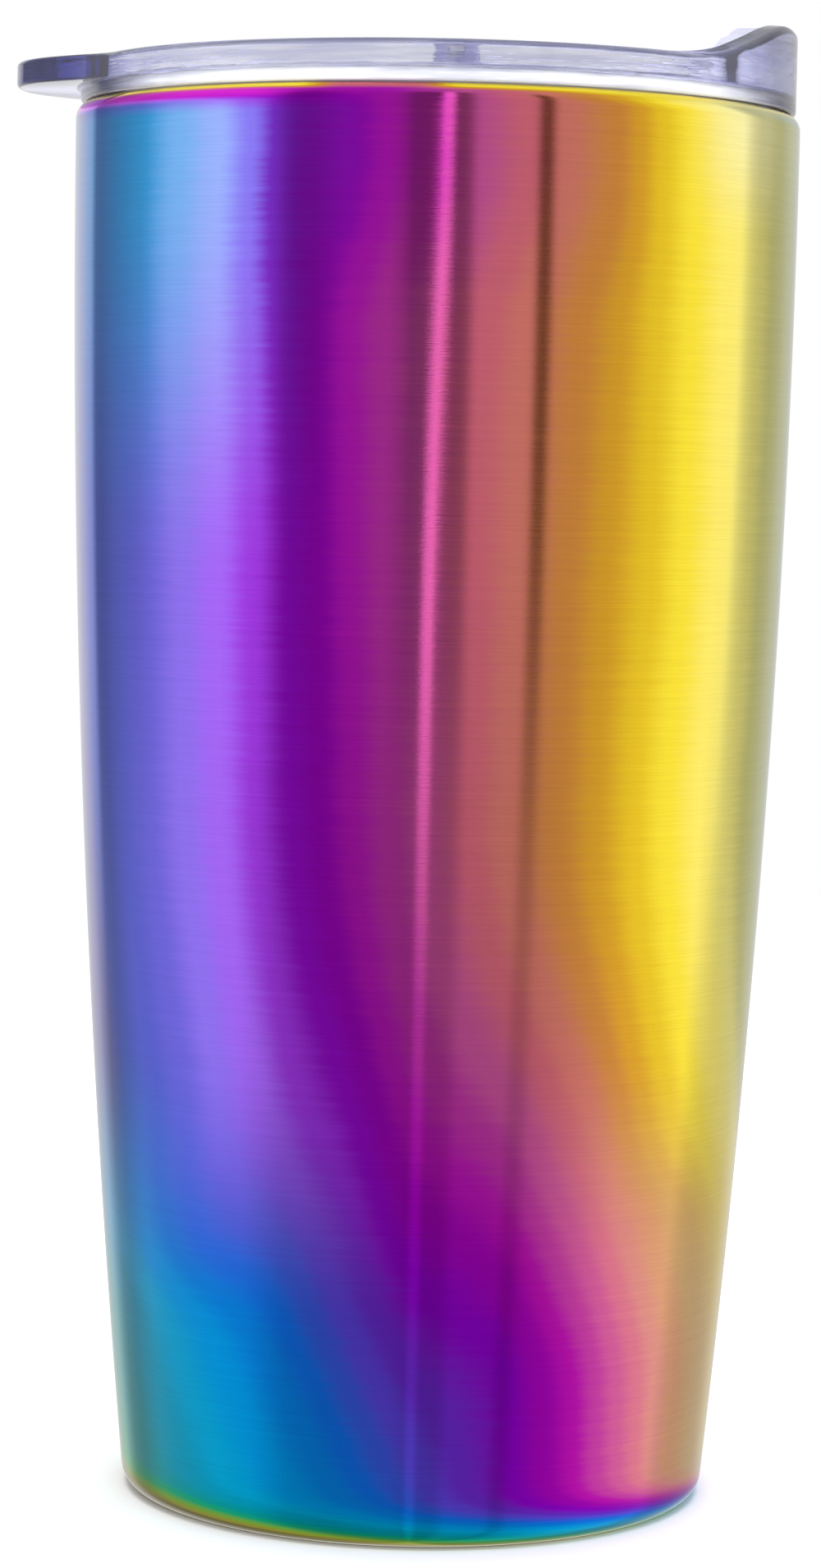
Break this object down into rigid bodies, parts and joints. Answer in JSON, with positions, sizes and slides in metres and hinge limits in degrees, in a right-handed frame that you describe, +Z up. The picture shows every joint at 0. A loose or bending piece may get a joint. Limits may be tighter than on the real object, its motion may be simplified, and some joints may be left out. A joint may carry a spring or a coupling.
{
  "type": "insulated tumbler with lid",
  "caption": "Double-walled vacuum steel tumbler with a curved taper, iridescent brushed shell, and a clear press-in lid with pull tab, raised spout and flip cap.",
  "frame": {"origin": "on the cup's axis, on the flat foot ring that it stands on", "axes": "+Z up along the cup's axis, +X towards the drinking spout, -X towards the lid's pull tab"},
  "size_m": [0.0931, 0.086, 0.1754],
  "materials": {
    "rainbow_steel": "brushed steel with a thin iridescent coating that runs from blue through violet and rose to gold",
    "liner_steel": "satin, turned",
    "base_steel": "satin",
    "copper": "bright copper foil",
    "getter_metal": "sintered, matte",
    "solder_glass": "dark solder glass",
    "clear_plastic": "clear, faintly blue-violet, polished",
    "frosted_plastic": "whitish translucent plastic, satin",
    "silicone": "translucent white silicone",
    "pin_steel": "ground"
  },
  "bodies": {
    "cup": {"outer_shell": "rainbow_steel", "liner_wall": "liner_steel", "liner_base": "liner_steel", "copper_foil": "copper", "base_plate": "base_steel", "base_cover": "base_steel", "getter": "getter_metal", "getter_strap": "base_steel", "vacuum_seal": "solder_glass"},
    "gasket": {"lid_gasket": "silicone"},
    "lid": {"lid_body": "clear_plastic", "hinge_pin": "pin_steel"},
    "cap": {"flip_cap": "frosted_plastic", "cap_stopper": "silicone"}
  },
  "joints": [
    {"name": "lid_lift", "type": "slide", "parent": "cup", "child": "gasket", "axis": [0, 0, 1], "range_m": [0, 0.06]},
    {"name": "lid_turn", "type": "hinge", "parent": "gasket", "child": "lid", "pos_m": [0, 0, 0.1655], "axis": [0, 0, 1], "continuous": true},
    {"name": "cap_flip", "type": "hinge", "parent": "lid", "child": "cap", "pos_m": [0.002, 0, 0.1706], "axis": [0, -1, 0], "range_deg": [0, 180]}
  ]
}
